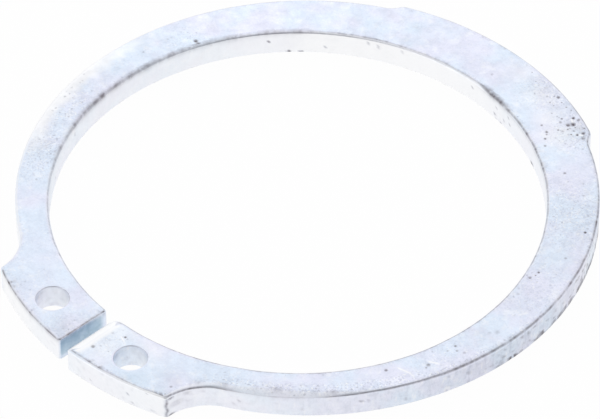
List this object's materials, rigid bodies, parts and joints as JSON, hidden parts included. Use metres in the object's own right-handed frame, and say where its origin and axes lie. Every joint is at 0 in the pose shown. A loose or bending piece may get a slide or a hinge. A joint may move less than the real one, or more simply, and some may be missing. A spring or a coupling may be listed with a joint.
{
  "type": "external retaining ring",
  "caption": "Flat stamped external retaining ring with an eccentric spring beam, a raised back and two lugs with plier holes beside an open gap.",
  "frame": {"origin": "on the axis of the ring's inside, at the flat bottom face", "axes": "+Z along the ring's axis, up through its thickness; -Y towards the gap between the lugs; +X to the right, seen from the gap"},
  "size_m": [0.0328, 0.0348, 0.0015],
  "materials": {
    "zinc_plate": "bright zinc plate, faintly blue, satin"
  },
  "bodies": {
    "root": {"retaining_ring": "zinc_plate"}
  },
  "joints": []
}
